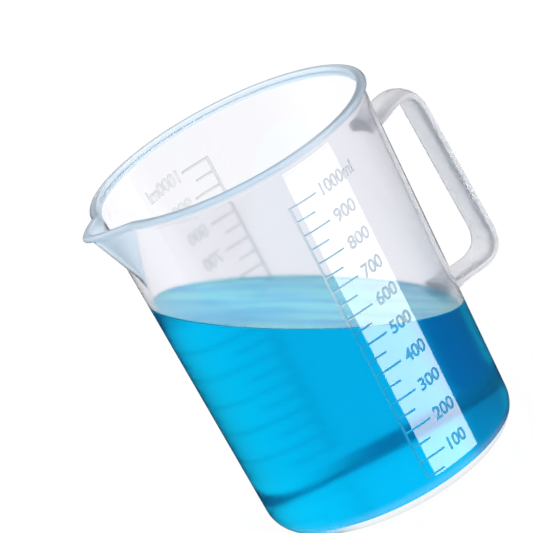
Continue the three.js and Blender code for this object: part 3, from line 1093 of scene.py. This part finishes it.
def hide_from(piece, *rays):
    """Hides a piece of the stage from some kinds of rays."""
    for kind in rays:
        setattr(piece, f"visible_{kind}", False)


class BEAKER_OT_stage(bpy.types.Operator):
    """Set the pale floor, the soft studio light and the camera"""

    bl_idname = "beaker.stage"
    bl_label = "Stage"

    def execute(self, context):
        cup, looks, stage = groups_of(context, "cup", "looks", "stage")
        self.floor(looks)
        self.strip_light(cup, stage)
        self.studio(context.scene, stage)
        self.camera(context.scene, stage)
        self.quality(context.scene)
        return {"FINISHED"}

    def floor(self, looks):
        """A pale floor, lit from within as a light table is."""
        deselect()
        bpy.ops.mesh.primitive_grid_add(size=12, x_subdivisions=4, y_subdivisions=4)
        ground = named(bpy.context.object, "floor")
        made, nodes = material("pale_floor")
        paint = nodes.add("ShaderNodeBsdfDiffuse", inputs={"Color": opaque(looks.floor)})
        shine = nodes.add("ShaderNodeEmission", inputs={"Color": opaque((1, 1, 1)), "Strength": 1.0})
        sides = {1: paint, 2: shine}
        nodes.show(nodes.add("ShaderNodeMixShader", inputs={"Fac": looks.floor_glow, **sides}))
        ground.data.materials.append(made)
        hide_from(ground, "glossy", "transmission", "shadow")

    def strip_light(self, cup, stage):
        """A far card that mirrors in the front wall as an upright strip."""
        deselect()
        bpy.ops.mesh.primitive_grid_add(size=1.0, x_subdivisions=24, y_subdivisions=12)
        card = named(bpy.context.object, "strip_light")
        for vertex in card.data.vertices:
            across = vertex.co.x + 0.5
            up = vertex.co.y + 0.5
            bearing = stage.strip_left + (stage.strip_right - stage.strip_left) * across
            z = stage.strip_low + (stage.strip_high - stage.strip_low) * up
            vertex.co = self.mirrored(cup, stage, bearing, z)
        card.data.materials.append(glow("strip_light", (1, 1, 1), stage.strip_power))
        hide_from(card, "camera", "diffuse", "transmission", "shadow")

    def mirrored(self, cup, stage, bearing, z):
        """A place that the camera sees mirrored at a bearing and a height on the front wall."""
        outwards = Vector((math.sin(bearing), -math.cos(bearing), 0))
        on_wall = outwards * wall_radius(cup, z) + Vector((0, 0, z))
        facing = outwards - Vector((0, 0, taper(cup)))
        sight = (on_wall - Vector(stage.eye)).reflect(facing.normalized())
        return on_wall + sight.normalized() * stage.strip_distance

    def studio(self, scene, stage):
        """A white studio with a dim wall on one side, and unlit where a surface only mirrors it."""
        world = bpy.data.worlds.new("studio")
        world.use_nodes = True
        nodes = Nodes(world.node_tree)
        x, y, z = axes(nodes, nodes.add("ShaderNodeTexCoord", output="Generated"))
        heading = nodes.math("ARCTAN2", x, y)
        above = soft_step(nodes, z, stage.bright_from, stage.bright_from)
        aside = soft_step(nodes, heading, stage.aside, stage.aside_edge)
        high = nodes.math("MAXIMUM", above, stage.aside_share * aside)
        bright = mixed(nodes, high, (stage.through_low,) * 3, (stage.through_high,) * 3)
        through = mixed(nodes, self.dim_wall(nodes, stage, heading, z), bright, stage.dim_colour)
        ends = soft_step(nodes, z, stage.mirror_top, stage.mirror_top_fade)
        ends = ends + soft_step(nodes, 0 - z, stage.mirror_foot, stage.mirror_foot_fade)
        mirrored = mixed(nodes, ends, stage.mirror_level, stage.mirror_ends)
        to_front = 0 - (math.sin(stage.heading) * x + math.cos(stage.heading) * y)
        bounced = nodes.math("MINIMUM", nodes.ray("Glossy Depth"), 1.0)
        turned_back = bounced * soft_step(nodes, to_front, stage.front_edge, stage.front_edge)
        through = mixed(nodes, turned_back, through, mirrored)
        diffuse = nodes.ray("Is Diffuse Ray")
        seen = mixed(nodes, diffuse * above, (1, 1, 1), (stage.through_high,) * 3)
        seen = mixed(nodes, nodes.ray("Is Transmission Ray"), seen, through)
        seen = mixed(nodes, nodes.ray("Is Reflection Ray") * (1 - diffuse), seen, mirrored)
        light = nodes.add("ShaderNodeBackground", inputs={"Color": seen, "Strength": 1.0})
        nodes.add("ShaderNodeOutputWorld", inputs={"Surface": light})
        scene.world = world

    def dim_wall(self, nodes, stage, heading, z):
        """Where rays that have passed through the liquid see the dim wall."""
        left = soft_step(nodes, heading, stage.dim_left, stage.dim_edge)
        right = soft_step(nodes, heading, stage.dim_right, stage.dim_edge)
        foot = soft_step(nodes, z, stage.dim_bottom, stage.dim_foot)
        top = soft_step(nodes, z, stage.dim_top, stage.dim_fade)
        crossed = nodes.ray("Transmission Depth")
        wet = soft_step(nodes, crossed, LIQUID_CROSSINGS, half_width=0.1)
        return left * (1 - right) * foot * (1 - top) * wet

    def camera(self, scene, stage):
        """The photograph's point of view."""
        deselect()
        bpy.ops.object.camera_add()
        camera = named(bpy.context.object, "camera")
        camera.data.lens = stage.lens
        camera.data.sensor_width = 36
        turn = Matrix.Rotation(-stage.heading, 4, "Z")
        look_down = Matrix.Rotation(math.pi / 2 - stage.pitch, 4, "X")
        lean = Matrix.Rotation(-stage.roll, 4, "Z")
        place = Matrix.Translation(stage.eye)
        camera.matrix_world = place @ turn @ look_down @ lean
        scene.camera = camera

    def quality(self, scene):
        """Enough bounces for clear walls one behind another."""
        scene.view_settings.view_transform = "Standard"
        scene.cycles.use_denoising = True
        scene.cycles.max_bounces = 40
        scene.cycles.transmission_bounces = 40
        scene.cycles.glossy_bounces = 16


class BEAKER_PT_panel(bpy.types.Panel):
    """Lists the pieces and their sizes"""

    bl_label = "Beaker"
    bl_idname = "BEAKER_PT_panel"
    bl_space_type = "VIEW_3D"
    bl_region_type = "UI"
    bl_category = "Beaker"

    def draw(self, context):
        for operator in OPERATORS:
            self.layout.operator(operator.bl_idname)
        for name in GROUPS:
            group = getattr(context.scene, name)
            box = self.layout.box()
            for key in group.__annotations__:
                box.prop(group, key)


GROUPS = {
    "beaker_cup": BeakerCup,
    "beaker_handle": BeakerHandle,
    "beaker_scale": BeakerScale,
    "beaker_liquid": BeakerLiquid,
    "beaker_looks": BeakerLooks,
    "beaker_stage": BeakerStage,
}
OPERATORS = (
    BEAKER_OT_stage,
    BEAKER_OT_cup,
    BEAKER_OT_handle,
    BEAKER_OT_scales,
    BEAKER_OT_numerals,
    BEAKER_OT_liquid,
)
CLASSES = (*GROUPS.values(), *OPERATORS, BEAKER_PT_panel)


def register():
    for cls in CLASSES:
        bpy.utils.register_class(cls)
    for name, group in GROUPS.items():
        setattr(bpy.types.Scene, name, bpy.props.PointerProperty(type=group))


def unregister():
    for name in GROUPS:
        delattr(bpy.types.Scene, name)
    for cls in reversed(CLASSES):
        bpy.utils.unregister_class(cls)


def main():
    """Makes every piece in order."""
    register()
    bpy.ops.beaker.stage()
    bpy.ops.beaker.cup()
    bpy.ops.beaker.handle()
    bpy.ops.beaker.scales()
    bpy.ops.beaker.numerals()
    bpy.ops.beaker.liquid()
    deselect()


if __name__ == "__main__":
    main()
